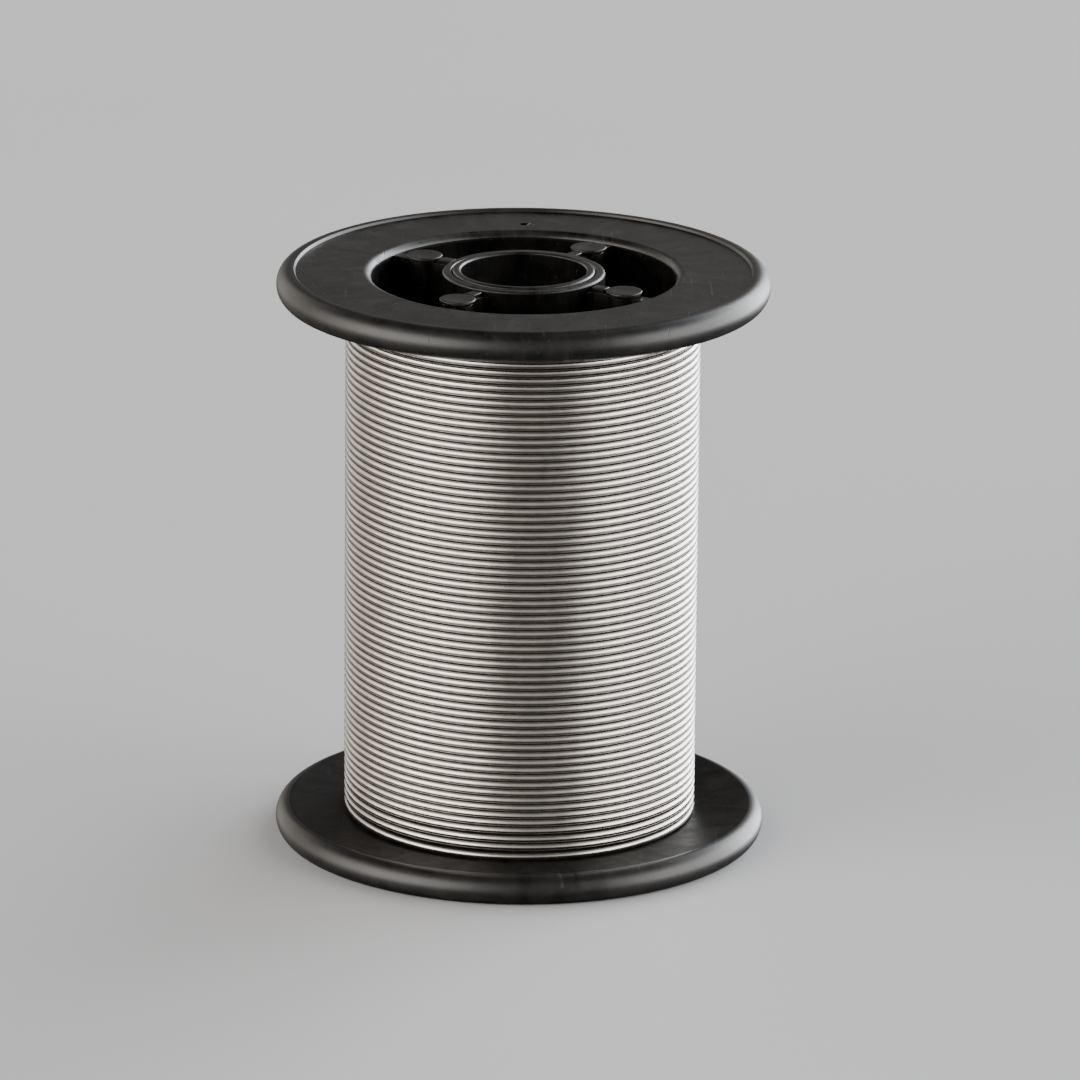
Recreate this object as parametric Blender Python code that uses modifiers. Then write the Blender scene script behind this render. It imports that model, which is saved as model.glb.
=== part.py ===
"""Solder wire spool: two alike flanges tied by four pins through a ribbed hub, and its winding.

Metres, +Z up along the spool's axis. The origin is on the axis, at the plane the spool stands on.
A flange and a bush are modelled once, as the upper one, with z = 0 in the middle plane of the
flange's rim. The lower one is the same piece turned over.
"""

import math

import bmesh
import bpy

# ---- driving dimensions, in metres ----
OVERALL_HEIGHT = 0.0752
GAP = 0.0003                # clearance between pieces that touch

FLANGE_RADIUS = 0.0315
RIM_HALF = 0.0020           # half the thickness of the rolled rim
RIM_ROUND = 0.00175         # how far the rim's round side reaches outwards
RIM_INNER = 0.0292          # inner edge of the flat ring on the rim, which the spool stands on
FACE_RADIUS = 0.0290        # edge of the recessed outer face
FACE_LEVEL = 0.0016
WEB_LEVEL = -0.0012         # face that bounds the winding
WEB_RADIUS = 0.0230         # where that face starts to slope out to the rim's crest
OPENING_RADIUS = 0.0194
OPENING_ROUND = 0.0011      # rounding of the opening's edge
SPIGOT_WALL = 0.0007
SPIGOT_LENGTH = 0.0040      # how far the flange reaches into the barrel
SEAT_DEPTH = 0.0006         # recess that the barrel's end stands in

WIRE_DIAMETER = 0.0010
WINDING_RADIUS = 0.02268    # outside of the single layer of wire
BARREL_RADIUS = WINDING_RADIUS - WIRE_DIAMETER

TUBE_RADIUS = 0.0104        # arbor tube, outside
TUBE_RELIEF = 0.0082        # arbor tube, inside between the bushes
TUBE_END = 0.0017           # arbor tube's end face
TUBE_ROUND = 0.0004
BORE_RADIUS = 0.0080
BUSH_RADIUS = 0.0091
BUSH_END = 0.0019
BUSH_LENGTH = 0.0080
BUSH_ROUND = 0.00035

PIN_CIRCLE = 0.0152         # radius of the circle through the four pins
PIN_HEAD = 0.0023
PIN_HEAD_TOP = 0.0015
PIN_HEAD_HEIGHT = 0.00035
PIN_CHAMFER = 0.0001
PIN_SHANK = 0.0010
PIN_EYE = 0.0019            # boss round the pin, in spokes and ribs
FIRST_PIN = math.radians(57)
TURN_LINE = FIRST_PIN + math.pi / 4       # line between two pins, about which an end is turned over
SPOKE_TOP = PIN_HEAD_TOP - PIN_HEAD_HEIGHT - GAP
SPOKE_HEIGHT = 0.0030
SPOKE_WIDTH = 0.0017
LINK_TOP = 0.0014           # spoke's raised inner end, between the arbor tube and a pin's head
LINK_OUTER = PIN_CIRCLE - PIN_HEAD - GAP
LINK_WIDTH = 0.0015
RIB_WIDTH = 0.0015

ANCHOR_RADIUS = WIRE_DIAMETER / 2 + GAP   # slanting hole that takes an end of the wire
ANCHOR_CIRCLE = 0.0231
ANCHOR_ANGLE = math.radians(93.4)         # where the hole is halfway through
ANCHOR_SLOPE = math.radians(40)           # from the level
GROOVE_WIDTH = 0.0019                     # wire-lead groove across the winding side
GROOVE_DEPTH = 0.0003
GROOVE_ANGLE = math.radians(282)

FLANGE_STEPS = 64
TUBE_STEPS = 48
PIN_STEPS = 20
WIRE_STEPS = 12

UPPER_MID = OVERALL_HEIGHT - RIM_HALF     # middle planes of the two rims
LOWER_MID = RIM_HALF


def fresh_scene():
    """Empty the scene and return the collections for the parts and for the cutters."""
    for item in list(bpy.data.objects):
        bpy.data.objects.remove(item, do_unlink=True)
    found = []
    for name in ("solder_wire_spool", "cutters"):
        group = bpy.data.collections.new(name)
        bpy.context.scene.collection.children.link(group)
        found.append(group)
    return found


PARTS, CUTTERS = fresh_scene()


def material(name, colour, roughness, metallic=0.0):
    """A plain Principled material."""
    made = bpy.data.materials.new(name)
    made.use_nodes = True
    shader = made.node_tree.nodes["Principled BSDF"]
    shader.inputs["Base Color"].default_value = (*colour, 1)
    shader.inputs["Roughness"].default_value = roughness
    shader.inputs["Metallic"].default_value = metallic
    return made


def black_plastic(name):
    """Satin black moulded plastic."""
    return material(name, (0.022, 0.021, 0.021), 0.42)


def solder_metal(name):
    """Bright tin alloy."""
    return material(name, (0.66, 0.63, 0.60), 0.24, 1.0)


def part(name, mesh, surface):
    """Link a finished mesh as a named sub-part with its own material."""
    item = bpy.data.objects.new(name, mesh)
    PARTS.objects.link(item)
    mesh.materials.clear()
    mesh.materials.append(surface)
    mesh.shade_smooth()
    mesh.set_sharp_from_angle(angle=math.radians(35))
    return item


def helper(name, mesh):
    """Link a mesh as a cutter or a shape to be joined, which isn't a part."""
    item = bpy.data.objects.new(name, mesh)
    CUTTERS.objects.link(item)
    item.hide_render = True
    item.display_type = "WIRE"
    return item


def finished(item):
    """The mesh that an object's modifiers make; the object itself goes away."""
    evaluated = item.evaluated_get(bpy.context.evaluated_depsgraph_get())
    mesh = bpy.data.meshes.new_from_object(evaluated)
    bpy.data.objects.remove(item, do_unlink=True)
    return mesh


def stand_on_end(item, upper):
    """Place a piece at the upper or lower rim; the lower one is turned over."""
    item.location = (0, 0, UPPER_MID if upper else LOWER_MID)
    if not upper:
        item.rotation_mode = "AXIS_ANGLE"
        item.rotation_axis_angle = (math.pi, math.cos(TURN_LINE), math.sin(TURN_LINE), 0)


def swing(item, radius, height, angle):
    """Place a helper at a radius, height and angle round the axis, its X pointing outwards."""
    item.location = (radius * math.cos(angle), radius * math.sin(angle), height)
    item.rotation_euler = (0, 0, angle)
    return item


def block(name, size):
    """A box helper centred on its origin."""
    mesh = bpy.data.meshes.new(name)
    shape = bmesh.new()
    bmesh.ops.create_cube(shape, size=1.0)
    bmesh.ops.scale(shape, vec=size, verts=shape.verts)
    shape.to_mesh(mesh)
    shape.free()
    return helper(name, mesh)


def rod(name, radius, length, steps=PIN_STEPS):
    """An upright round helper centred on its origin."""
    mesh = bpy.data.meshes.new(name)
    shape = bmesh.new()
    bmesh.ops.create_cone(
        shape, cap_ends=True, segments=steps, radius1=radius, radius2=radius, depth=length
    )
    shape.to_mesh(mesh)
    shape.free()
    return helper(name, mesh)


def combine(item, other, operation):
    """Add a Boolean of another object to an item."""
    step = item.modifiers.new(other.name, "BOOLEAN")
    step.operation = operation
    step.object = other
    step.solver = "EXACT"


def arc(centre_r, centre_z, size_r, size_z, start, end, steps):
    """Points of an elliptic arc in the profile plane, angles in degrees from +r towards +z."""
    turns = [math.radians(start + (end - start) * k / steps) for k in range(steps + 1)]
    return [(centre_r + size_r * math.cos(a), centre_z + size_z * math.sin(a)) for a in turns]


def mirrored(outline):
    """The same half outline at the spool's other end, followed in the other direction."""
    return [(r, OVERALL_HEIGHT - z) for r, z in reversed(outline)]


def turned(name, outline, steps, closed=True):
    """Turn an outline of (radius, height) about Z: outer side from top to bottom, then inside."""
    mesh = bpy.data.meshes.new(name)
    count = len(outline)
    edges = [(k, (k + 1) % count) for k in range(count if closed else count - 1)]
    mesh.from_pydata([(r, 0, z) for r, z in outline], edges, [])
    item = helper(name, mesh)
    screw = item.modifiers.new("turn", "SCREW")
    screw.angle = 2 * math.pi
    screw.steps = steps
    screw.render_steps = steps
    screw.use_merge_vertices = True
    screw.merge_threshold = 0.00001
    return item


def flange_outline():
    """Section of a flange: recessed face, rolled rim, winding face, barrel spigot, opening."""
    spigot_r = OPENING_RADIUS + SPIGOT_WALL
    seat_r = BARREL_RADIUS + GAP
    rim_r = FLANGE_RADIUS - RIM_ROUND
    points = [(FACE_RADIUS, FACE_LEVEL), (RIM_INNER, RIM_HALF)]
    points += arc(rim_r, 0, RIM_ROUND, RIM_HALF, 90, -90, 10)
    points += [(WEB_RADIUS, WEB_LEVEL), (seat_r, WEB_LEVEL), (seat_r, WEB_LEVEL + SEAT_DEPTH)]
    points += [(spigot_r, WEB_LEVEL + SEAT_DEPTH), (spigot_r, WEB_LEVEL - SPIGOT_LENGTH)]
    points += [(OPENING_RADIUS, WEB_LEVEL - SPIGOT_LENGTH)]
    edge = OPENING_ROUND
    points += arc(OPENING_RADIUS + edge, FACE_LEVEL - edge, edge, edge, 180, 90, 4)
    return points


def anchor_hole():
    """Cutter for the hole that slants along the rim through the flange, downwards as it goes round."""
    cutter = rod("anchor_hole", ANCHOR_RADIUS, 0.012, WIRE_STEPS)
    middle = (FACE_LEVEL + WEB_LEVEL) / 2
    swing(cutter, ANCHOR_CIRCLE, middle, ANCHOR_ANGLE)
    cutter.rotation_euler = (math.pi / 2 - ANCHOR_SLOPE, 0, ANCHOR_ANGLE)
    return cutter


def flange_mesh():
    """One flange with its four spokes and pin holes, its anchor hole and its wire-lead groove."""
    item = turned("flange", flange_outline(), FLANGE_STEPS)
    inner = TUBE_RADIUS + GAP
    outer = OPENING_RADIUS + SPIGOT_WALL / 2
    level = SPOKE_TOP - SPOKE_HEIGHT / 2
    for k in range(4):
        angle = FIRST_PIN + k * math.pi / 2
        spoke = block(f"spoke_{k + 1}", (outer - inner, SPOKE_WIDTH, SPOKE_HEIGHT))
        combine(item, swing(spoke, (inner + outer) / 2, level, angle), "UNION")
        eye = rod(f"eye_{k + 1}", PIN_EYE, SPOKE_HEIGHT)
        combine(item, swing(eye, PIN_CIRCLE, level, angle), "UNION")
        link = block(f"link_{k + 1}", (LINK_OUTER - inner, LINK_WIDTH, LINK_TOP - level))
        combine(item, swing(link, (inner + LINK_OUTER) / 2, (level + LINK_TOP) / 2, angle), "UNION")
        hole = rod(f"pin_hole_{k + 1}", PIN_SHANK + GAP, 2 * SPOKE_HEIGHT)
        combine(item, swing(hole, PIN_CIRCLE, level, angle), "DIFFERENCE")
    combine(item, anchor_hole(), "DIFFERENCE")
    run = FLANGE_RADIUS - RIM_ROUND - WEB_RADIUS
    rise = RIM_HALF + WEB_LEVEL
    groove = block("wire_groove", (math.hypot(run, rise), GROOVE_WIDTH, 2 * GROOVE_DEPTH))
    swing(groove, WEB_RADIUS + run / 2, WEB_LEVEL - rise / 2, GROOVE_ANGLE)
    groove.rotation_euler = (0, math.atan2(rise, run), GROOVE_ANGLE)
    combine(item, groove, "DIFFERENCE")
    return finished(item)


def barrel_mesh():
    """The drum that the wire is wound on, bored out at both ends for the flanges' spigots."""
    bored = OPENING_RADIUS + SPIGOT_WALL + GAP
    top = UPPER_MID + WEB_LEVEL + SEAT_DEPTH - GAP
    step = UPPER_MID + WEB_LEVEL - SPIGOT_LENGTH - GAP
    upper = [(OPENING_RADIUS, step), (bored, step), (bored, top), (BARREL_RADIUS, top)]
    return finished(turned("barrel", upper + mirrored(upper), FLANGE_STEPS))


def tube_mesh():
    """The arbor tube: rounded ends, bored out for a bush at each end."""
    top = UPPER_MID + TUBE_END
    seat_r = BUSH_RADIUS + GAP
    seat = top - BUSH_LENGTH
    edge = TUBE_ROUND
    upper = [(TUBE_RELIEF, seat), (seat_r, seat), (seat_r, top)]
    upper += arc(TUBE_RADIUS - edge, top - edge, edge, edge, 90, 0, 3)
    return finished(turned("tube", upper + mirrored(upper), TUBE_STEPS))


def bush_mesh():
    """A bush that lines one end of the bore, its lip rounded and proud of the tube's end."""
    edge = BUSH_ROUND
    bottom = TUBE_END - BUSH_LENGTH + GAP
    points = arc(BUSH_RADIUS - edge, BUSH_END - edge, edge, edge, 90, 0, 3)
    points += [(BUSH_RADIUS, bottom), (BORE_RADIUS, bottom)]
    points += arc(BORE_RADIUS + edge, BUSH_END - edge, edge, edge, 180, 90, 3)
    return finished(turned("bush", points, TUBE_STEPS))


def pin_mesh():
    """A tie pin on its own axis: a shank with a flat round head formed on each end."""
    top = UPPER_MID + PIN_HEAD_TOP
    under = top - PIN_HEAD_HEIGHT
    upper = [(0, top), (PIN_HEAD - PIN_CHAMFER, top), (PIN_HEAD, top - PIN_CHAMFER)]
    upper += [(PIN_HEAD, under), (PIN_SHANK, under)]
    return finished(turned("pin", upper + mirrored(upper), PIN_STEPS, closed=False))


def rib_mesh():
    """An upright web between arbor tube and barrel, with a bored boss for its tie pin, along +X."""
    inner = TUBE_RADIUS + GAP
    outer = OPENING_RADIUS - GAP
    half = OVERALL_HEIGHT / 2
    height = 2 * (UPPER_MID + SPOKE_TOP - SPOKE_HEIGHT - GAP - half)
    web = swing(block("rib", (outer - inner, RIB_WIDTH, height)), (inner + outer) / 2, half, 0)
    boss = swing(rod("rib_boss", PIN_EYE, height), PIN_CIRCLE, half, 0)
    hole = swing(rod("rib_hole", PIN_SHANK + GAP, OVERALL_HEIGHT), PIN_CIRCLE, half, 0)
    combine(web, boss, "UNION")
    combine(web, hole, "DIFFERENCE")
    place = web.matrix_basis.copy()
    mesh = finished(web)
    mesh.transform(place)
    return mesh


def winding_mesh():
    """The room that the single layer of close-wound wire fills between the flanges."""
    top = UPPER_MID + WEB_LEVEL - GAP
    upper = [(BARREL_RADIUS + GAP, top), (WINDING_RADIUS, top)]
    return finished(turned("winding", upper + mirrored(upper), FLANGE_STEPS))


def wire_tail(name):
    """The stretch of wire inside a flange's anchor hole, clipped level with the face."""
    middle = (FACE_LEVEL + WEB_LEVEL) / 2
    rise = FACE_LEVEL - middle - WIRE_DIAMETER / 2 * math.cos(ANCHOR_SLOPE)
    half = rise / math.sin(ANCHOR_SLOPE)
    curve = bpy.data.curves.new(name, "CURVE")
    curve.dimensions = "3D"
    curve.bevel_depth = WIRE_DIAMETER / 2
    curve.bevel_resolution = 2
    curve.use_fill_caps = True
    line = curve.splines.new("POLY")
    line.points.add(1)
    run = (-math.sin(ANCHOR_ANGLE), math.cos(ANCHOR_ANGLE))
    start = (ANCHOR_CIRCLE * math.cos(ANCHOR_ANGLE), ANCHOR_CIRCLE * math.sin(ANCHOR_ANGLE))
    for point, way in zip(line.points, (-half, half), strict=True):
        level = way * math.cos(ANCHOR_SLOPE)
        x, y = (s + r * level for s, r in zip(start, run, strict=True))
        point.co = (x, y, middle - way * math.sin(ANCHOR_SLOPE), 1)
    curve.materials.append(solder_metal(name))
    item = bpy.data.objects.new(name, curve)
    PARTS.objects.link(item)
    return item


def build():
    """Make every piece of the spool."""
    flange = flange_mesh()
    bush = bush_mesh()
    for end in ("upper", "lower"):
        name = f"{end}_flange"
        stand_on_end(part(name, flange.copy(), black_plastic(name)), end == "upper")
        name = f"{end}_bore_bush"
        stand_on_end(part(name, bush.copy(), black_plastic(name)), end == "upper")
    part("barrel", barrel_mesh(), black_plastic("barrel"))
    part("arbor_tube", tube_mesh(), black_plastic("arbor_tube"))
    rib, pin = rib_mesh(), pin_mesh()
    for k in range(4):
        angle = FIRST_PIN + k * math.pi / 2
        name = f"rib_{k + 1}"
        swing(part(name, rib.copy(), black_plastic(name)), 0, 0, angle)
        name = f"tie_pin_{k + 1}"
        swing(part(name, pin.copy(), black_plastic(name)), PIN_CIRCLE, 0, angle)
    part("solder_winding", winding_mesh(), solder_metal("solder_winding"))
    stand_on_end(wire_tail("wire_start"), True)
    stand_on_end(wire_tail("wire_end"), False)


build()
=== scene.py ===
"""Looks of the solder wire spool: its wire as one real helix, finely made plastic and surfaces.

Metres, +Z up along the spool's axis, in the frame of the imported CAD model. A flange and a bush are
made once, as the upper one, with z = 0 in the middle plane of the flange's rim. The lower one is
the same piece turned over about the line midway between two tie pins.
"""

import math

import bmesh
import bpy
from mathutils import Matrix, Vector


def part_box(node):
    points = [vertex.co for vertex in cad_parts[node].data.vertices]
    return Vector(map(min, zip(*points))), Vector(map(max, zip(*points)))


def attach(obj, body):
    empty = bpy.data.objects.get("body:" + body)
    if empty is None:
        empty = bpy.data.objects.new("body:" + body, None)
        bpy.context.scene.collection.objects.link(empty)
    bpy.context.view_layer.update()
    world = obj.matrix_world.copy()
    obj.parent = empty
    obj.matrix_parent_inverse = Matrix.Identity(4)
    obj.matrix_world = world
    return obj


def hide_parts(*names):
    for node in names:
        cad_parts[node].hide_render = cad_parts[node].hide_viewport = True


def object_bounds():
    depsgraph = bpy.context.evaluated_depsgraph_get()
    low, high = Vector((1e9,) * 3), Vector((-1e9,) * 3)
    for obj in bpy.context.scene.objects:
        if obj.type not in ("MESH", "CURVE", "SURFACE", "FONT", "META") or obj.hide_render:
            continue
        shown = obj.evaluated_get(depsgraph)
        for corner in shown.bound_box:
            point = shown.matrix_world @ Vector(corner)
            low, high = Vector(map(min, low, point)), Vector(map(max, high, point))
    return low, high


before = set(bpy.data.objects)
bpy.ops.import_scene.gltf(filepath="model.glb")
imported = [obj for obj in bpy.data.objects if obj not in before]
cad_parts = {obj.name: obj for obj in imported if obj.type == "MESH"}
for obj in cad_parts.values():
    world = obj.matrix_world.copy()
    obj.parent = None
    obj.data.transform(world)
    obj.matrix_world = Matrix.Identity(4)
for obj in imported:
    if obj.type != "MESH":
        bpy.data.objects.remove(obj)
CAD_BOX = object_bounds()

# ---- places read from the frame ----
TOP = CAD_BOX[1].z
UPPER_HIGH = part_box("upper_flange")[1]
TUBE_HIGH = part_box("arbor_tube")[1]
BUSH_LOW, BUSH_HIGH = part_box("upper_bore_bush")
PIN_LOW, PIN_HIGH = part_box("tie_pin_1")
RIB_LOW, RIB_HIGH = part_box("rib_1")
WIND_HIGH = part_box("solder_winding")[1]
BARREL_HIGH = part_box("barrel")[1]

# ---- sizes of the mouldings, as in the CAD model ----
GAP = 0.0003
RIM_HALF = 0.0020
RIM_ROUND = 0.00175
RIM_INNER = 0.0292
FACE_RADIUS = 0.0290
FACE_LEVEL = 0.0016
FACE_FILLET = 0.00018        # round the recessed face's foot, where it rises to the rim
FACE_EDGE = 0.00012          # round the rim's inner edge
WEB_LEVEL = -0.0012
WEB_RADIUS = 0.0230
OPENING_RADIUS = 0.0194
OPENING_ROUND = 0.0011
OPENING_MARGIN = 0.00005     # a face this far past the opening's wall still counts as on it
SPIGOT_WALL = 0.0007
SPIGOT_LENGTH = 0.0040
SEAT_DEPTH = 0.0006
TUBE_RELIEF = 0.0082
TUBE_ROUND = 0.0004
TUBE_SEAT_GAP = GAP * 0.4    # between a bush and the tube's seat, the thin line beside the lip
TUBE_SEAT_EDGE = 0.0001
BORE_RADIUS = 0.0080
BUSH_ROUND = 0.00035
BUSH_LENGTH = 0.0080
PIN_HEAD_HEIGHT = 0.00035
PIN_SHANK = 0.0010
PIN_EDGE = 0.00012
PIN_DISH = 0.00005           # how far the middle of a head lies below its rim
PIN_EYE = 0.0019             # round the pin, in spokes and ribs
SPOKE_WIDTH = 0.0017
SPOKE_HEIGHT = 0.0030
SPOKE_FLARE = 0.0009         # fillets where it meets the tube and the opening's wall
SPOKE_EDGE = 0.00022
LINK_TOP = 0.0014            # a spoke's raised inner end
LINK_WIDTH = 0.0015
LINK_EDGE = 0.00015
RIB_WIDTH = 0.0015
RIB_FLARE = 0.0007
RIB_EDGE = 0.0002
ANCHOR_ANGLE = math.radians(93.4)
ANCHOR_SLOPE = math.radians(40)
ANCHOR_CIRCLE = 0.0231
ANCHOR_CLEARANCE = 0.0001
GROOVE_ANGLE = math.radians(282)
GROOVE_DEPTH = 0.00004
GROOVE_SIDE = (              # (offset from its middle line, depth), and the same on the other side
    (0.0004, GROOVE_DEPTH), (0.00085, GROOVE_DEPTH), (0.00095, GROOVE_DEPTH / 2), (0.00105, 0.0),
    (0.0015, 0.0), (0.0021, 0.0),
)
GROOVE = [(-offset, depth) for offset, depth in reversed(GROOVE_SIDE)]
GROOVE += [(0.0, GROOVE_DEPTH), *GROOVE_SIDE]
GROOVE_CLEAR = math.radians(8.5)   # where the even steps begin again beside it
GROOVE_FADE = 6                    # steps over which the groove fades out on the rim's side

UPPER_MID = TOP - RIM_HALF
LOWER_MID = RIM_HALF
FLANGE_RADIUS = UPPER_HIGH.x
TUBE_RADIUS = TUBE_HIGH.x
BUSH_RADIUS = BUSH_HIGH.x
BARREL_RADIUS = BARREL_HIGH.x
PIN_CENTRE = (PIN_LOW + PIN_HIGH) / 2
PIN_CIRCLE = math.hypot(PIN_CENTRE.x, PIN_CENTRE.y)
FIRST_PIN = math.atan2(PIN_CENTRE.y, PIN_CENTRE.x)
TURN_LINE = FIRST_PIN + math.pi / 4
PIN_HEAD = (PIN_HIGH.x - PIN_LOW.x) / 2

# ---- wire ----
WIRE_DIAMETER = 0.0010
WIRE_RADIUS = WIRE_DIAMETER / 2
COIL_OUTSIDE = WIND_HIGH.x
COIL_RADIUS = COIL_OUTSIDE - WIRE_RADIUS      # middle of the wire
COIL_TOP = UPPER_MID + WEB_LEVEL - WIRE_RADIUS
COIL_BOTTOM = LOWER_MID - WEB_LEVEL + WIRE_RADIUS
PITCH = 0.0010075

# ---- camera ----
VIEW_ELEVATION = math.radians(17)
VIEW_DISTANCE = 1.1923
VIEW_ROLL = math.radians(0.53)
VIEW_LENS = 309.44
VIEW_RIGHT = 0.00240
VIEW_UP = 0.00139


def make_camera():
    """The camera of the reference view: far off, from the front and a little above."""
    data = bpy.data.cameras.new("view")
    data.sensor_width = 36
    data.lens = VIEW_LENS
    data.clip_start = 0.05
    data.clip_end = 20
    camera = bpy.data.objects.new("view", data)
    bpy.context.scene.collection.objects.link(camera)
    back = Vector((0, -math.cos(VIEW_ELEVATION), math.sin(VIEW_ELEVATION)))
    turn = (-back).to_track_quat("-Z", "Y").to_matrix() @ Matrix.Rotation(VIEW_ROLL, 3, "Z")
    place = Vector((0, 0, TOP / 2)) + back * VIEW_DISTANCE + turn @ Vector((VIEW_RIGHT, VIEW_UP, 0))
    camera.matrix_world = Matrix.Translation(place) @ turn.to_4x4()
    bpy.context.scene.camera = camera


make_camera()


# ---- materials ----
WORN = (0.060, 0.055, 0.050)         # plastic where it is scuffed or its edge is worn
DUST = (0.12, 0.11, 0.10)
PLASTIC_IOR = 1.52
BRIGHT_TIN = (0.71, 0.675, 0.64)
DULL_TIN = (0.48, 0.455, 0.43)
NICKED_TIN = (0.30, 0.28, 0.26)
PAINTED_CREVICE_SHADE = (0.095, 0.083, 0.071)  # painted shade deep between two turns, where the turns shade each other
PAINTED_HOLE_SHADE = (0.24, 0.22, 0.20)    # painted shade on the wire out past the coil, where it runs to the flanges' holes and lies in them


def add(tree, kind, values=None, links=None, **settings):
    """Add a node with its settings, input values and input links."""
    made = tree.nodes.new(kind)
    for key, value in settings.items():
        setattr(made, key, value)
    for key, value in (values or {}).items():
        made.inputs[key].default_value = value
    for key, source in (links or {}).items():
        tree.links.new(source, made.inputs[key])
    return made


def noise(tree, vector, scale, detail=3.0, rough=0.55, warp=0.0):
    """Value of a noise texture."""
    values = {"Scale": scale, "Detail": detail, "Roughness": rough, "Distortion": warp}
    return add(tree, "ShaderNodeTexNoise", values, {"Vector": vector}).outputs["Fac"]


def span(tree, source, low, high, start=0.0, end=1.0):
    """Clamped linear change of a value from one range to another."""
    values = {"From Min": low, "From Max": high, "To Min": start, "To Max": end}
    return add(tree, "ShaderNodeMapRange", values, {"Value": source}).outputs["Result"]


def maths(tree, operation, first, second=None):
    """A Math node on sockets or numbers."""
    made = add(tree, "ShaderNodeMath", operation=operation)
    for socket, value in zip(made.inputs, (first, second)):
        if isinstance(value, bpy.types.NodeSocket):
            tree.links.new(value, socket)
        elif value is not None:
            socket.default_value = value
    return made.outputs[0]


def stretched(tree, vector, scale, turn=(0.0, 0.0, 0.0)):
    """A vector turned and scaled."""
    values = {"Scale": scale, "Rotation": turn}
    return add(tree, "ShaderNodeMapping", values, {"Vector": vector}).outputs["Vector"]


def mixed(tree, share, first, second):
    """Mix of two colours, each a socket or a value."""
    made = add(tree, "ShaderNodeMix", data_type="RGBA")
    tree.links.new(share, made.inputs[0])
    for socket, value in ((made.inputs[6], first), (made.inputs[7], second)):
        if isinstance(value, bpy.types.NodeSocket):
            tree.links.new(value, socket)
        else:
            socket.default_value = (*value, 1)
    return made.outputs[2]


def round_coordinates(tree):
    """Object position, radius from the axis, and the seamless direction round it."""
    spot = add(tree, "ShaderNodeTexCoord").outputs["Object"]
    split = add(tree, "ShaderNodeSeparateXYZ", links={"Vector": spot})
    flat = add(tree, "ShaderNodeCombineXYZ", links={"X": split.outputs["X"], "Y": split.outputs["Y"]})
    length = add(tree, "ShaderNodeVectorMath", links={0: flat.outputs[0]}, operation="LENGTH")
    way = add(tree, "ShaderNodeVectorMath", links={0: flat.outputs[0]}, operation="NORMALIZE")
    return spot, length.outputs["Value"], way.outputs["Vector"], split.outputs["Z"]


def cylindrical(tree, way, height, round_scale, height_scale):
    """Coordinates that run round the axis and along a height without a seam."""
    far = add(tree, "ShaderNodeVectorMath", links={0: way}, operation="SCALE")
    far.inputs["Scale"].default_value = round_scale
    up = add(tree, "ShaderNodeCombineXYZ", links={"Z": maths(tree, "MULTIPLY", height, height_scale)})
    total = add(tree, "ShaderNodeVectorMath", links={0: far.outputs[0], 1: up.outputs[0]})
    return total.outputs["Vector"]


def blend(tree, share, first, second):
    """Mix of two values, each a socket or a number."""
    change = maths(tree, "SUBTRACT", second, first)
    return maths(tree, "ADD", first, maths(tree, "MULTIPLY", share, change))


def new_material(name):
    """An empty Principled material, with its node tree and shader."""
    made = bpy.data.materials.new(name)
    made.use_nodes = True
    return made, made.node_tree, made.node_tree.nodes["Principled BSDF"]


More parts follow.
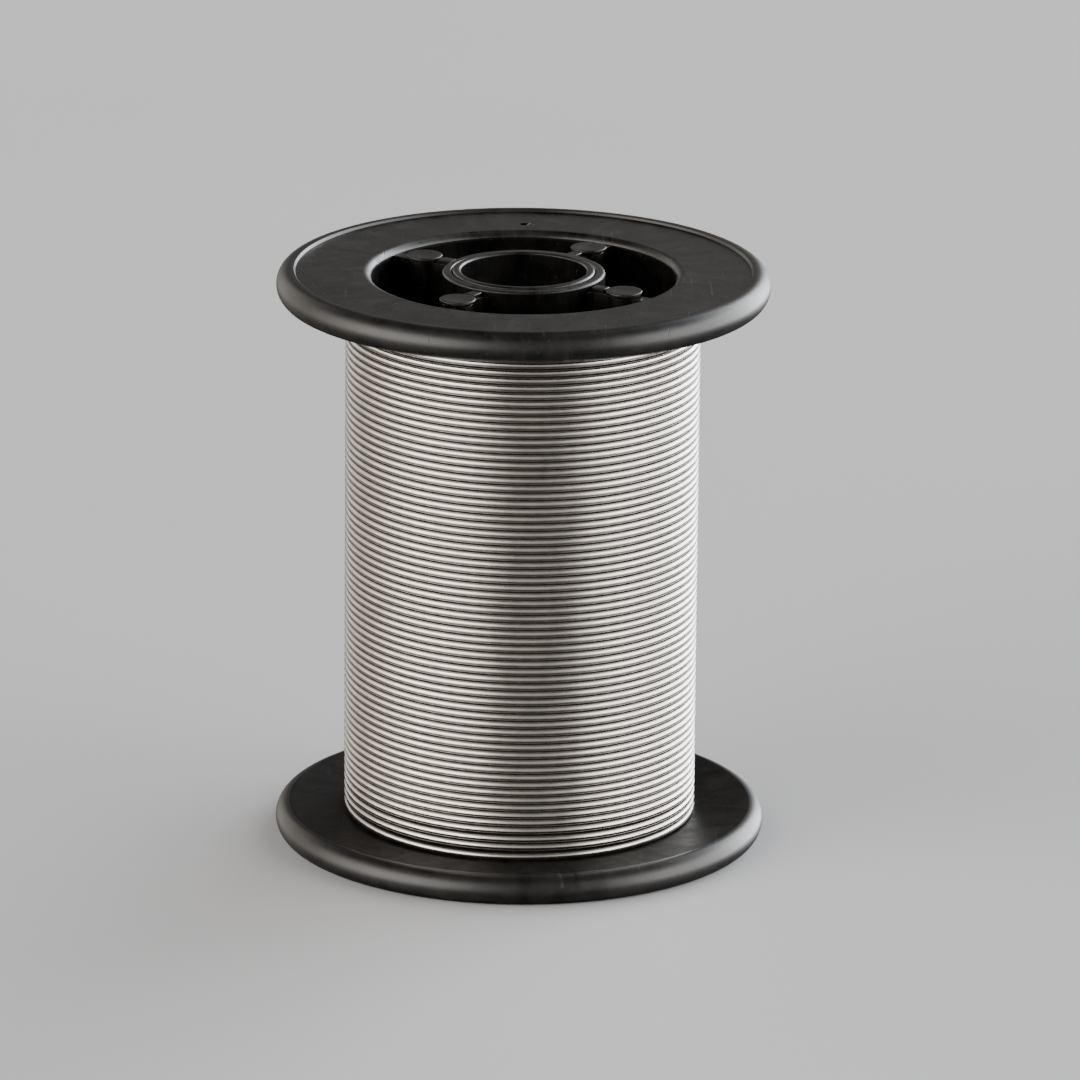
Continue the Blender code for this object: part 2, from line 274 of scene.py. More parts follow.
def black_plastic(name, shade=1.0, rough=(0.25, 0.42), shine=0.5, rims=False):
    """Satin black moulded plastic: flow marks, mottling, scuffs, dust and slightly worn edges.

    shade scales its colour, rough is its range of roughness and shine its specular level. With
    rims, a flange's rolled rim has a roughness of its own, more even than the rest.
    """
    made, tree, shader = new_material(name)
    spot, radius, way, height = round_coordinates(tree)
    mottle = noise(tree, spot, 230, 6, 0.68, 0.8)
    grain = noise(tree, spot, 2600, 3, 0.6)
    run = maths(tree, "ADD", radius, height)
    flow = noise(tree, cylindrical(tree, way, run, 9, 90), 1.0, 4, 0.6, 0.8)
    rings = noise(tree, cylindrical(tree, way, radius, 0.6, 2600), 1.0, 2, 0.5)
    scuffs = []
    for turn, shift in ((0.5, 90.0), (1.35, 60.0), (2.4, 75.0)):
        lines = stretched(tree, spot, (2100, shift, 400), (0.0, 0.0, turn))
        scuffs.append(span(tree, noise(tree, lines, 1.0, 2, 0.5, 0.4), 0.70, 0.80))
    scuff = maths(tree, "MAXIMUM", maths(tree, "MAXIMUM", scuffs[0], scuffs[1]), scuffs[2])
    dust_cells = add(tree, "ShaderNodeTexVoronoi", {"Scale": 520.0}, {"Vector": spot})
    dust = span(tree, dust_cells.outputs["Distance"], 0.10, 0.05)
    edge = add(tree, "ShaderNodeNewGeometry").outputs["Pointiness"]
    wear = maths(tree, "MULTIPLY", span(tree, edge, 0.53, 0.58), span(tree, mottle, 0.4, 0.7))

    dark = (0.0028 * shade, 0.0026 * shade, 0.0024 * shade)
    light = (0.0115 * shade, 0.0104 * shade, 0.0095 * shade)
    tone = maths(tree, "ADD", maths(tree, "MULTIPLY", mottle, 0.6), maths(tree, "MULTIPLY", flow, 0.4))
    colour = mixed(tree, span(tree, tone, 0.42, 0.60), dark, light)
    colour = mixed(tree, maths(tree, "MULTIPLY", scuff, 0.25), colour, WORN)
    colour = mixed(tree, maths(tree, "MULTIPLY", wear, 0.35), colour, WORN)
    colour = mixed(tree, maths(tree, "MULTIPLY", dust, 0.15), colour, DUST)
    tree.links.new(colour, shader.inputs["Base Color"])

    uneven = span(tree, mottle, 0.40, 0.60, *rough)
    uneven = maths(tree, "ADD", uneven, span(tree, flow, 0.35, 0.65, -0.05, 0.05))
    if rims:
        rim = span(tree, radius, FACE_RADIUS - 0.0004, RIM_INNER + 0.0003)
        uneven = blend(tree, rim, uneven, span(tree, mottle, 0.35, 0.65, 0.30, 0.36))
    uneven = maths(tree, "ADD", uneven, maths(tree, "MULTIPLY", scuff, 0.10))
    tree.links.new(uneven, shader.inputs["Roughness"])

    relief = maths(tree, "ADD", maths(tree, "MULTIPLY", grain, 0.35), maths(tree, "MULTIPLY", flow, 0.3))
    relief = maths(tree, "ADD", relief, maths(tree, "MULTIPLY", rings, 0.12))
    relief = maths(tree, "SUBTRACT", relief, maths(tree, "MULTIPLY", scuff, 0.5))
    values = {"Strength": 0.5, "Distance": 0.00006}
    bump = add(tree, "ShaderNodeBump", values, {"Height": relief})
    tree.links.new(bump.outputs["Normal"], shader.inputs["Normal"])
    shader.inputs["IOR"].default_value = PLASTIC_IOR
    shader.inputs["Specular IOR Level"].default_value = shine
    return made


def matte_painted_shade_inside(name):
    """The same plastic on the walls inside the hub, dull and with little reflection, its colour darkened
    to 0.35 as painted shade.
    """
    return black_plastic(name, 0.35, (0.40, 0.50), 0.08)


def solder_metal(name):
    """Bright drawn tin alloy: draw lines along the wire, faint oxide clouds and handling nicks, with
    painted shade deep between the turns and where the wire runs out to its holes.
    """
    made, tree, shader = new_material(name)
    spot, radius, way, height = round_coordinates(tree)
    draw = noise(tree, cylindrical(tree, way, height, 5, 9000), 1.0, 3, 0.6)
    cloud = noise(tree, spot, 260, 4, 0.6, 0.5)
    patch = noise(tree, cylindrical(tree, way, height, 22, 1000), 1.0, 3, 0.6)
    nicks = span(tree, noise(tree, spot, 2600, 2, 0.5), 0.74, 0.80)
    colour = mixed(tree, span(tree, cloud, 0.35, 0.75), BRIGHT_TIN, DULL_TIN)
    colour = mixed(tree, span(tree, patch, 0.45, 0.9, 0.0, 0.5), colour, DULL_TIN)
    colour = mixed(tree, maths(tree, "MULTIPLY", nicks, 0.3), colour, NICKED_TIN)
    # painted shade: the wire is darker deep between two turns, where they shade each other
    inside = maths(tree, "ADD", radius, span(tree, cloud, 0.3, 0.7, -0.00003, 0.00003))
    crevice_shade = span(tree, inside, COIL_OUTSIDE - 0.00010, COIL_OUTSIDE - 0.00030)
    colour = mixed(tree, crevice_shade, colour, PAINTED_CREVICE_SHADE)
    # painted shade: darker where the wire leaves the coil for a flange's hole and lies in it
    hole_shade = span(tree, radius, COIL_OUTSIDE + 0.0001, COIL_OUTSIDE + 0.0003)
    colour = mixed(tree, hole_shade, colour, PAINTED_HOLE_SHADE)
    tree.links.new(colour, shader.inputs["Base Color"])
    rough = span(tree, patch, 0.3, 0.75, 0.18, 0.28)
    rough = maths(tree, "ADD", rough, span(tree, draw, 0.3, 0.7, -0.02, 0.02))
    rough = maths(tree, "ADD", rough, maths(tree, "MULTIPLY", crevice_shade, 0.35))
    rough = maths(tree, "ADD", rough, maths(tree, "MULTIPLY", hole_shade, 0.25))
    tree.links.new(rough, shader.inputs["Roughness"])
    relief = maths(tree, "SUBTRACT", draw, maths(tree, "MULTIPLY", nicks, 0.8))
    values = {"Strength": 0.06, "Distance": 0.00002}
    bump = add(tree, "ShaderNodeBump", values, {"Height": relief})
    tree.links.new(bump.outputs["Normal"], shader.inputs["Normal"])
    shader.inputs["Metallic"].default_value = 1.0
    return made


def rosin(name):
    """Amber flux in the core of the wire, seen at its clipped ends."""
    made, tree, shader = new_material(name)
    spot = add(tree, "ShaderNodeTexCoord").outputs["Object"]
    cloud = noise(tree, spot, 9000, 3, 0.6)
    colour = mixed(tree, cloud, (0.30, 0.14, 0.03), (0.55, 0.33, 0.10))
    tree.links.new(colour, shader.inputs["Base Color"])
    tree.links.new(span(tree, cloud, 0.3, 0.7, 0.2, 0.45), shader.inputs["Roughness"])
    return made


# ---- mesh helpers ----
SHARP_ANGLE = math.radians(35)
EDGE_ANGLE = math.radians(60)        # edges that turn by more than this are rounded
EDGE_SEGMENTS = 3
MERGE_DISTANCE = 0.000001
UPRIGHT = 0.3                        # most that an upright wall's normal may rise


def link(name, mesh):
    """Link a mesh as an object."""
    item = bpy.data.objects.new(name, mesh)
    bpy.context.scene.collection.objects.link(item)
    return item


def built(name, shape):
    """Link an object made from a bmesh, and free the bmesh."""
    mesh = bpy.data.meshes.new(name)
    shape.to_mesh(mesh)
    shape.free()
    return link(name, mesh)


def finished(item):
    """The mesh that an object's modifiers make; the object itself goes away."""
    evaluated = item.evaluated_get(bpy.context.evaluated_depsgraph_get())
    mesh = bpy.data.meshes.new_from_object(evaluated)
    bpy.data.objects.remove(item, do_unlink=True)
    return mesh


def joined(name, items):
    """One object out of several, with their places applied and the originals removed."""
    shape = bmesh.new()
    for item in items:
        shape.from_mesh(finished(item))
    return built(name, shape)


def placed(item, radius, level, angle):
    """Move a helper's mesh to a radius, level and angle round the axis, its X pointing outwards."""
    spot = Matrix.Rotation(angle, 4, "Z") @ Matrix.Translation((radius, 0, level))
    item.data.transform(spot)
    return item


def cut(item, other, operation):
    """Apply a Boolean of another object to an item, and remove the other."""
    step = item.modifiers.new(operation, "BOOLEAN")
    step.operation = operation
    step.object = other
    step.solver = "EXACT"
    name = item.name
    mesh = finished(item)
    bpy.data.objects.remove(other, do_unlink=True)
    return link(name, mesh)


def arc(centre_r, centre_z, size_r, size_z, start, end, steps):
    """Points of an elliptic arc in the profile plane, angles in degrees from +r towards +z."""
    turns = [math.radians(start + (end - start) * k / steps) for k in range(steps + 1)]
    return [(centre_r + size_r * math.cos(a), centre_z + size_z * math.sin(a)) for a in turns]


def mirrored(outline):
    """The same half outline at the spool's other end, followed in the other direction."""
    return [(r, TOP - z) for r, z in reversed(outline)]


def turned(name, outline, steps, closed=True):
    """Turn an outline of (radius, height) about Z: outer side from top to bottom, then inside."""
    mesh = bpy.data.meshes.new(name)
    count = len(outline)
    edges = [(k, (k + 1) % count) for k in range(count if closed else count - 1)]
    mesh.from_pydata([(r, 0, z) for r, z in outline], edges, [])
    item = link(name, mesh)
    screw = item.modifiers.new("turn", "SCREW")
    screw.angle = 2 * math.pi
    screw.steps = steps
    screw.render_steps = steps
    screw.use_merge_vertices = True
    screw.merge_threshold = MERGE_DISTANCE
    return link(name, finished(item))


def prism(name, outline, low, high, edge):
    """An upright prism on a plan outline, its edges rounded."""
    shape = bmesh.new()
    corners = [shape.verts.new((x, y, low)) for x, y in outline]
    floor = shape.faces.new(corners)
    floor.normal_update()
    if floor.normal.z > 0:
        floor.normal_flip()
    grown = bmesh.ops.extrude_face_region(shape, geom=[floor])
    raised = [v for v in grown["geom"] if isinstance(v, bmesh.types.BMVert)]
    bmesh.ops.translate(shape, vec=(0, 0, high - low), verts=raised)
    bmesh.ops.recalc_face_normals(shape, faces=shape.faces)
    item = built(name, shape)
    bevel = item.modifiers.new("edge", "BEVEL")
    bevel.width = edge
    bevel.segments = EDGE_SEGMENTS
    bevel.limit_method = "ANGLE"
    bevel.angle_limit = EDGE_ANGLE
    return link(name, finished(item))


def smooth(item):
    """Smooth shading with sharp edges kept, and normals that leave flat faces flat."""
    item.data.shade_smooth()
    item.data.set_sharp_from_angle(angle=SHARP_ANGLE)
    weighted = item.modifiers.new("normals", "WEIGHTED_NORMAL")
    weighted.keep_sharp = True
    weighted.weight = 60
    return item


def piece(item, surface, slot, *nodes):
    """Give a finished piece its material, put it under the root body and hide the CAD nodes it stands
    for. slot is not used.
    """
    item.data.materials.clear()
    item.data.materials.append(surface)
    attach(item, "root")
    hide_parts(*nodes)
    return item


def face_surface(item, surface, chosen):
    """Give the faces that a rule on (centre, normal) chooses another surface."""
    item.data.materials.append(surface)
    index = len(item.data.materials) - 1
    for face in item.data.polygons:
        if chosen(face.center, face.normal):
            face.material_index = index


def on_wall(centre, normal):
    """Whether a face is part of an upright wall."""
    return abs(normal.z) < UPRIGHT


def turned_over():
    """Matrix that turns an upper piece over to be the lower one."""
    return Matrix.Rotation(math.pi, 4, Vector((math.cos(TURN_LINE), math.sin(TURN_LINE), 0)))


def stand_on_end(item, upper):
    """Move a piece's mesh to the upper or lower rim; the lower one is turned over."""
    if not upper:
        item.data.transform(turned_over())
    item.data.transform(Matrix.Translation((0, 0, UPPER_MID if upper else LOWER_MID)))
    return item


# ---- wire ----
SEGMENTS = 72                # per turn
OUTER_SIDES = 14             # round the half that shows
OUTER_SPAN = math.radians(210)
INNER_SIDES = 4
CORE_SHARE = 0.32            # of the wire's radius
CLIPPED_EDGE_ANGLE = math.radians(50)
HOLE_STEP = 0.0004           # between points in the straight hole
BEND_RADIUS = 4 * WIRE_DIAMETER
BEND_STEPS = 8
SIDESTEP = math.radians(24)  # over which the wire moves between the coil and a hole
FRONT = math.radians(-90)    # where the heights of the passes are taken
TOUCHDOWN = math.radians(10) # how far before the front the last pass comes down on the flange
LAST_SPACES = (0.00130, 0.00107, 0.00115, 0.00103)   # between the last passes, from the end
CLIP_DEPTH = 0.0001          # of the wire's clipped end in its hole
CLIP_LEVEL = FACE_LEVEL - WIRE_RADIUS * math.cos(ANCHOR_SLOPE) - CLIP_DEPTH


def smoothstep(share):
    """Even start and stop between 0 and 1."""
    share = min(1.0, max(0.0, share))
    return share * share * (3 - 2 * share)


def anchor_route():
    """Wire from the upper flange's face down its slanting hole, bent level on the winding side."""
    middle = UPPER_MID + (FACE_LEVEL + WEB_LEVEL) / 2
    radial = Vector((math.cos(ANCHOR_ANGLE), math.sin(ANCHOR_ANGLE), 0))
    forward = Vector((-radial.y, radial.x, 0))
    flat, steep = math.cos(ANCHOR_SLOPE), math.sin(ANCHOR_SLOPE)
    start = -(UPPER_MID + CLIP_LEVEL - middle) / steep
    end = (middle - COIL_TOP - BEND_RADIUS * (1 - flat)) / steep
    count = math.ceil((end - start) / HOLE_STEP)
    places = [start + (end - start) * k / count for k in range(count + 1)]
    line = [(along * flat, middle - along * steep) for along in places]
    run, level = line[-1]
    for k in range(1, BEND_STEPS + 1):
        tilt = ANCHOR_SLOPE * (1 - k / BEND_STEPS)
        out = BEND_RADIUS * (steep - math.sin(tilt))
        down = BEND_RADIUS * (math.cos(tilt) - flat)
        line.append((run + out, level - down))
    return [radial * ANCHOR_CIRCLE + forward * x + Vector((0, 0, z)) for x, z in line]


def pass_heights():
    """Heights of the wire's passes at the front, from the top down."""
    heights = [COIL_BOTTOM]
    for space in LAST_SPACES:
        heights.append(heights[-1] + space)
    while heights[-1] + PITCH < COIL_TOP:
        heights.append(heights[-1] + PITCH)
    return heights[::-1]


def wire_route():
    """The wire's centreline: in through the upper flange, round the barrel, out through the lower."""
    lead_in = anchor_route()
    lift = Matrix.Translation((0, 0, LOWER_MID)) @ turned_over() @ Matrix.Translation((0, 0, -UPPER_MID))
    lead_out = [lift @ spot for spot in reversed(lead_in)]
    first, last = lead_in[-1], lead_out[0]
    first_angle = math.atan2(first.y, first.x)
    side_radius = math.hypot(first.x, first.y)
    heights = pass_heights()
    full = 2 * math.pi
    to_front = (FRONT - first_angle) % full
    last_front = to_front + full * (len(heights) - 1)
    finish = last_front + (math.atan2(last.y, last.x) - FRONT) % full
    resting = COIL_BOTTOM + WIRE_DIAMETER        # the pass above the last one lies on it
    leave = finish - full
    touch = last_front - TOUCHDOWN
    step = full / SEGMENTS
    route = []
    count = int(finish / step)
    for k in range(1, count):
        way = finish * k / count
        place = (way - to_front) / full
        row = max(0, min(int(place), len(heights) - 2))
        space = heights[row] - heights[row + 1]
        if place < 0 or row == len(heights) - 2:
            space = PITCH
        level = min(COIL_TOP, heights[row] - space * (place - row))
        if way > leave:
            level = resting + (COIL_BOTTOM - resting) * smoothstep((way - leave) / (touch - leave))
        elif row == len(heights) - 2:
            level = max(level, resting)
        near = max(smoothstep(1 - way / SIDESTEP), smoothstep(1 - (finish - way) / SIDESTEP))
        radius = COIL_RADIUS + (side_radius - COIL_RADIUS) * near
        angle = first_angle + way
        route.append(Vector((radius * math.cos(angle), radius * math.sin(angle), level)))
    return lead_in + route + lead_out


def wire_section():
    """Angles of the points round the wire, from outwards; closer together on the outer side."""
    outer = [OUTER_SPAN * (k / OUTER_SIDES - 0.5) for k in range(OUTER_SIDES)]
    inner_span = 2 * math.pi - OUTER_SPAN
    return outer + [OUTER_SPAN / 2 + inner_span * k / INNER_SIDES for k in range(INNER_SIDES)]


def wire_tube(name, route):
    """A round mesh tube along a route, closed by flat ends with a small core in the middle."""
    shape = bmesh.new()
    section = wire_section()
    sides = len(section)
    rings = []
    for k, spot in enumerate(route):
        ahead = route[min(k + 1, len(route) - 1)] - route[max(k - 1, 0)]
        ahead.normalize()
        side = ahead.cross(Vector((0, 0, 1))).normalized()
        rise = side.cross(ahead)
        ring = []
        for turn in section:
            outwards = side * math.cos(turn) + rise * math.sin(turn)
            ring.append(shape.verts.new(spot + outwards * WIRE_RADIUS))
        rings.append(ring)
    for first, second in zip(rings, rings[1:]):
        for s in range(sides):
            t = (s + 1) % sides
            shape.faces.new((first[s], first[t], second[t], second[s]))
    for ring, centre in ((rings[0], route[0]), (rings[-1], route[-1])):
        core = [shape.verts.new(centre + (v.co - centre) * CORE_SHARE) for v in ring]
        for s in range(sides):
            t = (s + 1) % sides
            shape.faces.new((ring[s], ring[t], core[t], core[s]))
        shape.faces.new(core)
    bmesh.ops.recalc_face_normals(shape, faces=shape.faces)
    item = built(name, shape)
    item.data.shade_smooth()
    item.data.set_sharp_from_angle(angle=CLIPPED_EDGE_ANGLE)
    return item


def at_core(centre, route):
    """Whether a face's centre is in the middle of one of the wire's clipped ends."""
    return min((centre - end).length for end in (route[0], route[-1])) < CORE_SHARE * WIRE_RADIUS / 2


def make_wire():
    """The wire, as one piece from one flange's hole to the other's."""
    route = wire_route()
    wire = wire_tube("solder_wire", route)
    piece(wire, solder_metal("solder"), "solder", "solder_winding", "wire_start", "wire_end")
    face_surface(wire, rosin("rosin_core"), lambda centre, normal: at_core(centre, route))


make_wire()


# ---- mouldings ----
FLANGE_STEPS = 256
TUBE_STEPS = 192
PIN_STEPS = 64
HOLE_STEPS = 32
RIB_STEPS = 60               # along one side
CUTTER_LENGTH = 0.012        # of the anchor hole's cutter, more than the flange is thick


def web_profile(steps):
    """Winding side of a flange from the rim's crest in to the barrel, as (radius, level)."""
    crest = Vector((FLANGE_RADIUS - RIM_ROUND, -RIM_HALF))
    foot = Vector((WEB_RADIUS, WEB_LEVEL))
    return [tuple(crest.lerp(foot, k / steps)) for k in range(steps + 1)]


RIM_STEPS = 40
WEB_STEPS = 16
FACE_STEP = (
    arc(FACE_RADIUS, FACE_LEVEL + FACE_FILLET, FACE_FILLET, FACE_FILLET, -90, -30, 4)
    + arc(RIM_INNER + FACE_EDGE, RIM_HALF - FACE_EDGE, FACE_EDGE, FACE_EDGE, 150, 90, 4)
)


def flange_outline():
    """Section of a flange: recessed face, rolled rim, winding face, barrel spigot, opening."""
    spigot_r = OPENING_RADIUS + SPIGOT_WALL
    seat_r = BARREL_RADIUS + GAP
    rim_r = FLANGE_RADIUS - RIM_ROUND
    points = list(FACE_STEP)
    points += arc(rim_r, 0, RIM_ROUND, RIM_HALF, 90, -90, RIM_STEPS)
    points += web_profile(WEB_STEPS)[1:]
    points += [(seat_r, WEB_LEVEL), (seat_r, WEB_LEVEL + SEAT_DEPTH)]
    points += [(spigot_r, WEB_LEVEL + SEAT_DEPTH), (spigot_r, WEB_LEVEL - SPIGOT_LENGTH)]
    points += [(OPENING_RADIUS, WEB_LEVEL - SPIGOT_LENGTH)]
    edge = OPENING_ROUND
    points += arc(OPENING_RADIUS + edge, FACE_LEVEL - edge, edge, edge, 180, 90, 14)
    return points


def rib_outline(inner, outer, width, flare):
    """Plan of a rib or spoke along +X: straight sides, a round eye at the pin, flared ends."""
    upper = []
    for k in range(RIB_STEPS + 1):
        x = inner + (outer - inner) * k / RIB_STEPS
        half = width / 2
        reach = abs(x - PIN_CIRCLE)
        if reach < PIN_EYE:
            half = max(half, math.sqrt(PIN_EYE * PIN_EYE - reach * reach))
        for edge in (x - inner, outer - x):
            if edge < flare:
                half = max(half, width / 2 + flare - math.sqrt(flare * flare - (flare - edge) ** 2))
        upper.append((x, half))
    return upper + [(x, -y) for x, y in reversed(upper)]


def turning_places(radius):
    """Angles of a flange's points at a radius: even steps, and closer ones at the lead groove."""
    near = [math.asin(offset / radius) for offset, depth in GROOVE]
    skip = round(GROOVE_CLEAR / (2 * math.pi) * FLANGE_STEPS)
    even = [2 * math.pi * k / FLANGE_STEPS for k in range(skip, FLANGE_STEPS - skip + 1)]
    return [GROOVE_ANGLE + turn for turn in near + even]


def flange_blank():
    """The flange turned from its section, with the shallow lead groove over its winding side and rim."""
    outline = flange_outline()
    first = len(FACE_STEP) + RIM_STEPS // 2
    last = first + RIM_STEPS // 2 + WEB_STEPS
    shape = bmesh.new()
    loops = []
    for k, (r, z) in enumerate(outline):
        before, after = Vector(outline[k - 1]), Vector(outline[(k + 1) % len(outline)])
        way = (after - before).normalized()
        fade = smoothstep((k - first) / GROOVE_FADE) if k <= last else 0
        loop = []
        for place, turn in enumerate(turning_places(r)):
            depth = fade * GROOVE[place][1] if place < len(GROOVE) else 0
            reach = r + way.y * depth
            spot = (reach * math.cos(turn), reach * math.sin(turn), z - way.x * depth)
            loop.append(shape.verts.new(spot))
        loops.append(loop)
    for k, loop in enumerate(loops):
        other = loops[(k + 1) % len(loops)]
        for place in range(len(loop)):
            beyond = (place + 1) % len(loop)
            shape.faces.new((loop[place], other[place], other[beyond], loop[beyond]))
    bmesh.ops.recalc_face_normals(shape, faces=shape.faces)
    return built("flange", shape)


def hole_cutter(name, radius, length):
    """A round cutter centred on its origin."""
    shape = bmesh.new()
    bmesh.ops.create_cone(
        shape, cap_ends=True, segments=HOLE_STEPS, radius1=radius, radius2=radius, depth=length
    )
    return built(name, shape)


def flange_mesh():
    """One flange with four stepped spokes, pin holes, the wire's anchor hole and lead groove."""
    item = flange_blank()
    inner = TUBE_RADIUS + GAP
    outer = OPENING_RADIUS + SPIGOT_WALL / 2
    top = PIN_HIGH.z - UPPER_MID - PIN_HEAD_HEIGHT - GAP
    outline = rib_outline(inner, outer, SPOKE_WIDTH, SPOKE_FLARE)
    reach, half = PIN_CIRCLE - PIN_HEAD - GAP, LINK_WIDTH / 2
    link_outline = ((inner, -half), (reach, -half), (reach, half), (inner, half))
    spokes, links, holes = [], [], []
    for k in range(4):
        angle = FIRST_PIN + k * math.pi / 2
        spoke = prism("spoke", outline, top - SPOKE_HEIGHT, top, SPOKE_EDGE)
        spokes.append(placed(spoke, 0, 0, angle))
        raised = prism("raised_end", link_outline, top - SPOKE_HEIGHT / 2, LINK_TOP, LINK_EDGE)
        links.append(placed(raised, 0, 0, angle))
        hole = hole_cutter("pin_hole", PIN_SHANK + GAP, 2 * SPOKE_HEIGHT)
        holes.append(placed(hole, PIN_CIRCLE, top - SPOKE_HEIGHT / 2, angle))
    item = cut(item, joined("spokes", spokes), "UNION")
    item = cut(item, joined("raised_ends", links), "UNION")
    anchor = hole_cutter("anchor", WIRE_RADIUS + ANCHOR_CLEARANCE, CUTTER_LENGTH)
    anchor.data.transform(Matrix.Rotation(math.pi / 2 - ANCHOR_SLOPE, 4, "X"))
    holes.append(placed(anchor, ANCHOR_CIRCLE, (FACE_LEVEL + WEB_LEVEL) / 2, ANCHOR_ANGLE))
    item = cut(item, joined("holes", holes), "DIFFERENCE")
    return item


def on_winding_side(centre, normal):
    """Whether a face is on a flange's winding side, inside the rim."""
    rim = math.hypot(centre.x, centre.y) > FLANGE_RADIUS - RIM_ROUND
    return normal.z * (centre.z - TOP / 2) < 0 and not rim


def in_opening(centre, normal):
    """Whether a face is on the opening's wall or the sides of a spoke."""
    inside = math.hypot(centre.x, centre.y) < OPENING_RADIUS + OPENING_MARGIN
    return inside and on_wall(centre, normal)


def make_flanges():
    """Both flanges from one mesh."""
    upper = flange_mesh()
    mesh = upper.data
    upper.name = "upper_flange_moulding"
    lower = link("lower_flange_moulding", mesh.copy())
    surface = black_plastic("flange_plastic", rims=True)
    # painted light: the winding side inside the rim gets the plastic 1.15 times lighter than the rest of
    # the flange, in place of light the winding holds off; it is also rougher and less shiny
    lighter_web_surface = black_plastic("web_lighter_plastic", 1.15, (0.40, 0.50), 0.07)
    # painted shade: the opening's wall and the spokes' sides get the darkened copy of the plastic
    shaded_wall_surface = matte_painted_shade_inside("opening_shaded_plastic")
    for item, name, at_top in ((upper, "upper_flange", True), (lower, "lower_flange", False)):
        stand_on_end(smooth(item), at_top)
        piece(item, surface, "black_plastic", name)
        face_surface(item, lighter_web_surface, on_winding_side)
        face_surface(item, shaded_wall_surface, in_opening)


def make_bushes():
    """The two bore bushes with their rounded lips."""
    edge = BUSH_ROUND
    high = BUSH_HIGH.z - UPPER_MID
    bottom = BUSH_LOW.z - UPPER_MID
    points = arc(BUSH_RADIUS - edge, high - edge, edge, edge, 90, 0, 8)
    points += [(BUSH_RADIUS, bottom), (BORE_RADIUS, bottom)]
    points += arc(BORE_RADIUS + edge, high - edge, edge, edge, 180, 90, 8)
    surface = black_plastic("bush_plastic", 1.1, (0.24, 0.36))
    # painted shade: the bushes' upright walls, the bore among them, get the darkened copy of the plastic
    shaded_wall_surface = matte_painted_shade_inside("bore_shaded_plastic")
    for end in ("upper", "lower"):
        item = smooth(turned(f"{end}_bush_lip", points, TUBE_STEPS))
        stand_on_end(item, end == "upper")
        piece(item, surface, "black_plastic", f"{end}_bore_bush")
        face_surface(item, shaded_wall_surface, on_wall)


def make_hub():
    """Arbor tube, barrel and the four ribs between them."""
    # painted light: the tube's shoulders, lips and seats get the plastic 1.4 times lighter than the
    # flanges'; its walls get the darkened copy
    surface = black_plastic("hub_lighter_plastic", 1.4)
    # painted shade: the tube's walls, the barrel and the ribs get the darkened copy of the plastic
    shaded_inner_surface = matte_painted_shade_inside("hub_wall_shaded_plastic")
    top = TUBE_HIGH.z
    seat_r = BUSH_RADIUS + TUBE_SEAT_GAP
    seat = top - BUSH_LENGTH
    edge = TUBE_ROUND
    upper = [(TUBE_RELIEF, seat), (seat_r, seat)]
    upper += [(seat_r, top - TUBE_SEAT_EDGE), (seat_r + TUBE_SEAT_EDGE, top)]
    upper += arc(TUBE_RADIUS - edge, top - edge, edge, edge, 90, 0, 8)
    tube = smooth(turned("arbor_tube_moulding", upper + mirrored(upper), TUBE_STEPS))
    piece(tube, surface, "black_plastic", "arbor_tube")
    face_surface(tube, shaded_inner_surface, on_wall)

    bored = OPENING_RADIUS + SPIGOT_WALL + GAP
    step = UPPER_MID + WEB_LEVEL - SPIGOT_LENGTH - GAP
    high = BARREL_HIGH.z
    upper = [(OPENING_RADIUS, step), (bored, step), (bored, high), (BARREL_RADIUS, high)]
    barrel = smooth(turned("barrel_moulding", upper + mirrored(upper), FLANGE_STEPS))
    piece(barrel, shaded_inner_surface, "black_plastic", "barrel")

    outline = rib_outline(TUBE_RADIUS + GAP, OPENING_RADIUS - GAP, RIB_WIDTH, RIB_FLARE)
    for k in range(4):
        rib = prism("rib", outline, RIB_LOW.z, RIB_HIGH.z, RIB_EDGE)
        hole = hole_cutter("rib_hole", PIN_SHANK + GAP, 2 * TOP)
        rib = cut(rib, placed(hole, PIN_CIRCLE, TOP / 2, 0), "DIFFERENCE")
        rib.name = f"rib_web_{k + 1}"
        rib = smooth(placed(rib, 0, 0, FIRST_PIN + k * math.pi / 2))
        piece(rib, shaded_inner_surface, "black_plastic", f"rib_{k + 1}")


def make_pins():
    """The four tie pins: flat heads with a softened edge and a faint dished face."""
    surface = black_plastic("pin_plastic", 1.25)
    top = PIN_HIGH.z
    under = top - PIN_HEAD_HEIGHT
    edge = PIN_EDGE
    upper = [(0, top - PIN_DISH), (PIN_HEAD * 0.55, top - 0.8 * PIN_DISH), (PIN_HEAD * 0.8, top)]
    upper += arc(PIN_HEAD - edge, top - edge, edge, edge, 90, 0, 5)
    upper += [(PIN_HEAD, under), (PIN_SHANK, under)]
    for k in range(4):
        angle = FIRST_PIN + k * math.pi / 2
        item = turned(f"tie_pin_head_{k + 1}", upper + mirrored(upper), PIN_STEPS, closed=False)
        item = smooth(placed(item, PIN_CIRCLE, 0, angle))
        piece(item, surface, "pin_plastic", f"tie_pin_{k + 1}")


make_flanges()
make_bushes()
make_hub()
make_pins()


# ---- stage ----
FLOOR_REACH = 4.0
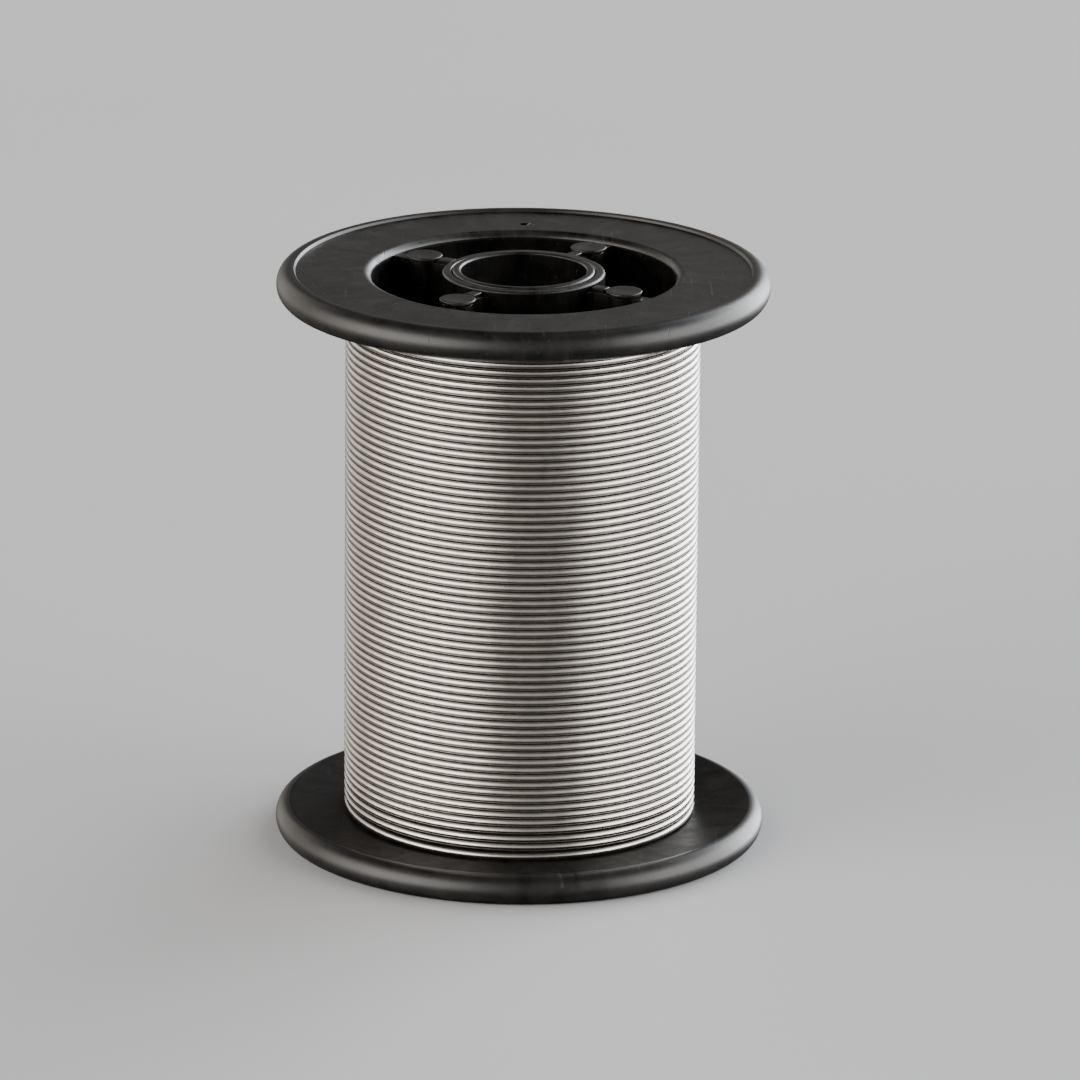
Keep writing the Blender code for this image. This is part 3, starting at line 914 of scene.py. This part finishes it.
# Radiance of the room by azimuth in degrees, and its share by elevation. Then the same for the
# bright lamp on the right and for the faint, taller glow in front, which are added to it.
ROOM_ROUND = (
    (-180, 3.9), (-160, 5.8), (-138, 6.0), (-120, 4.2), (-106, 1.1), (-94, 0.18), (-66, 0.15),
    (-54, 0.85), (-40, 3.7), (-20, 6.0), (0, 4.7), (19, 2.3), (48, 1.2), (62, 1.2), (73, 0.8),
    (82, 0.36), (92, 0.18), (104, 0.28), (120, 1.25), (150, 1.15), (168, 2.1), (180, 3.9),
)
ROOM_RISE = (
    (-90, 0.015), (-70, 0.04), (-57, 0.06), (-44, 0.09), (-30, 0.15), (-18, 0.36), (-6, 1.0),
    (22, 1.0), (32, 0.55), (44, 0.14), (60, 0.05), (90, 0.04),
)
LAMP_ROUND = (
    (-180, 0), (-20, 0), (0, 1.0), (16, 3.5), (30, 6.9), (48, 9.5), (60, 9.4), (73, 0.9),
    (82, 0.1), (90, 0), (180, 0),
)
LAMP_RISE = (
    (-90, 0), (-26, 0), (-17, 0.1), (-7, 1.0), (20, 1.0), (28, 0.7), (36, 0.25), (46, 0.08),
    (60, 0.04), (90, 0.04),
)
FRONT_ROUND = (
    (-180, 0), (-108, 0), (-97, 0.30), (-64, 0.30), (-54, 0), (180, 0),
)
FRONT_RISE = (
    (-90, 0.05), (-40, 0.25), (-22, 1.0), (40, 1.0), (56, 0.25), (90, 0.05),
)
# Tint of the room by azimuth: warm all round, but cool on the right.
ROOM_TINT = (
    (-180, (1.0, 0.945, 0.88)), (-140, (1.0, 0.955, 0.905)), (-80, (1.0, 0.95, 0.91)),
    (-20, (1.0, 0.985, 0.96)), (20, (0.98, 0.99, 1.0)), (64, (0.93, 0.96, 1.0)),
    (76, (0.92, 0.955, 1.0)), (88, (1.0, 0.95, 0.90)), (120, (1.0, 0.94, 0.87)),
    (150, (1.0, 0.92, 0.83)), (180, (1.0, 0.945, 0.88)),
)


def make_floor():
    """A plain pale floor."""
    mesh = bpy.data.meshes.new("floor")
    reach = FLOOR_REACH
    corners = [(-reach, -reach, 0), (reach, -reach, 0), (reach, reach, 0), (-reach, reach, 0)]
    mesh.from_pydata(corners, [], [(0, 1, 2, 3)])
    floor = link("floor", mesh)
    made, tree, shader = new_material("pale_floor")
    spot = add(tree, "ShaderNodeTexCoord").outputs["Object"]
    cloud = noise(tree, spot, 3, 3, 0.5)
    colour = mixed(tree, cloud, (0.60, 0.61, 0.63), (0.66, 0.67, 0.69))
    tree.links.new(colour, shader.inputs["Base Color"])
    tree.links.new(span(tree, cloud, 0.3, 0.7, 0.5, 0.6), shader.inputs["Roughness"])
    mesh.materials.append(made)
    floor.visible_glossy = False     # the spool's surfaces reflect the room, not the floor


def ramp(tree, source, stops, low, high):
    """Colour looked up in a table of stops along a range, as a share of its peak."""
    made = add(tree, "ShaderNodeValToRGB", links={"Fac": span(tree, source, low, high)})
    made.color_ramp.interpolation = "EASE"
    elements = made.color_ramp.elements
    for k, (place, value) in enumerate(stops):
        share = (place - stops[0][0]) / (stops[-1][0] - stops[0][0])
        if 0 < k < len(stops) - 1:
            stop = elements.new(share)
        else:
            stop = elements[0 if k == 0 else -1]
        stop.color = (*value, 1)
    return made.outputs["Color"]


def grey_ramp(tree, source, stops, low, high):
    """Value looked up in a table of stops along a range."""
    peak = max(value for place, value in stops)
    shares = [(place, (value / peak,) * 3) for place, value in stops]
    return maths(tree, "MULTIPLY", ramp(tree, source, shares, low, high), peak)


def make_lights():
    """A room with broad soft lights on the right and left, dim in front, behind and above."""
    world = bpy.data.worlds.new("room")
    bpy.context.scene.world = world
    world.use_nodes = True
    tree = world.node_tree
    way = add(tree, "ShaderNodeTexCoord").outputs["Generated"]
    split = add(tree, "ShaderNodeSeparateXYZ", links={"Vector": way})
    turn = maths(tree, "ARCTAN2", split.outputs["Y"], split.outputs["X"])
    rise = maths(tree, "ARCSINE", split.outputs["Z"])
    levels = []
    for by_turn, by_rise in (
        (ROOM_ROUND, ROOM_RISE), (LAMP_ROUND, LAMP_RISE), (FRONT_ROUND, FRONT_RISE)
    ):
        along = grey_ramp(tree, turn, by_turn, -math.pi, math.pi)
        up = grey_ramp(tree, rise, by_rise, -math.pi / 2, math.pi / 2)
        levels.append(maths(tree, "MULTIPLY", along, up))
    level = maths(tree, "ADD", maths(tree, "ADD", levels[0], levels[1]), levels[2])
    shade = tree.nodes["Background"]
    tree.links.new(ramp(tree, turn, ROOM_TINT, -math.pi, math.pi), shade.inputs["Color"])
    tree.links.new(level, shade.inputs["Strength"])


make_floor()
make_lights()
